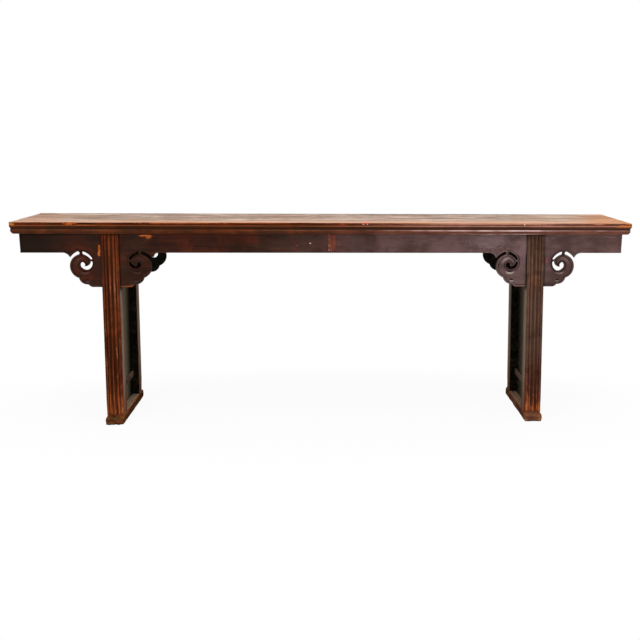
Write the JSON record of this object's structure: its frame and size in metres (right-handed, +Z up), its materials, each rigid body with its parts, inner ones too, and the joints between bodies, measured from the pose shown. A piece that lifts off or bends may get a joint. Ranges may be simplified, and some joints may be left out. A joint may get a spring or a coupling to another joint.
{
  "type": "chinese altar table",
  "caption": "Long narrow altar table with splayed reeded legs, bridle-jointed aprons with openwork cloud-scroll spandrels, panelled leg ends and base shoes.",
  "frame": {"origin": "on the floor under the middle of the table", "axes": "+X along the table's length, to the right seen from the front; -Y is the front, so +Y points to the back; +Z up"},
  "size_m": [2.7, 0.421, 0.916],
  "materials": {
    "top_wood": "worn brown-grey lacquer, rubbed to warm bare wood at the ends and along the rim, long grain",
    "edge_moulding": "dark red-brown lacquer, rubbed to orange wood on the proud edges",
    "apron_lacquer": "dark red-brown to purple-brown lacquer, satin, fine craze and scuffs",
    "leg_lacquer": "red-brown lacquer, reeds rubbed to orange wood, bare near the floor",
    "end_frame_lacquer": "near-black old lacquer, dull",
    "shoe_lacquer": "brown lacquer, edges scuffed to bare wood",
    "batten_wood": "unlacquered aged softwood, dull"
  },
  "bodies": {
    "root": {"apron_end_left": "apron_lacquer", "apron_end_right": "apron_lacquer", "apron_front_key": "apron_lacquer", "apron_front_left": "apron_lacquer", "apron_front_right": "apron_lacquer", "apron_rear_key": "apron_lacquer", "apron_rear_left": "apron_lacquer", "apron_rear_right": "apron_lacquer", "edge_strip_front": "edge_moulding", "edge_strip_left": "edge_moulding", "edge_strip_rear": "edge_moulding", "edge_strip_right": "edge_moulding", "leg_front_left": "leg_lacquer", "leg_front_right": "leg_lacquer", "leg_rear_left": "leg_lacquer", "leg_rear_right": "leg_lacquer", "lower_panel_left": "end_frame_lacquer", "lower_panel_right": "end_frame_lacquer", "lower_stretcher_left": "end_frame_lacquer", "lower_stretcher_right": "end_frame_lacquer", "shoe_left": "shoe_lacquer", "shoe_right": "shoe_lacquer", "top_batten_1": "batten_wood", "top_batten_2": "batten_wood", "top_batten_3": "batten_wood", "top_batten_4": "batten_wood", "top_batten_5": "batten_wood", "top_front_plank": "top_wood", "top_rear_plank": "top_wood", "upper_panel_left": "end_frame_lacquer", "upper_panel_right": "end_frame_lacquer", "upper_rail_left": "end_frame_lacquer", "upper_rail_right": "end_frame_lacquer"}
  },
  "joints": []
}
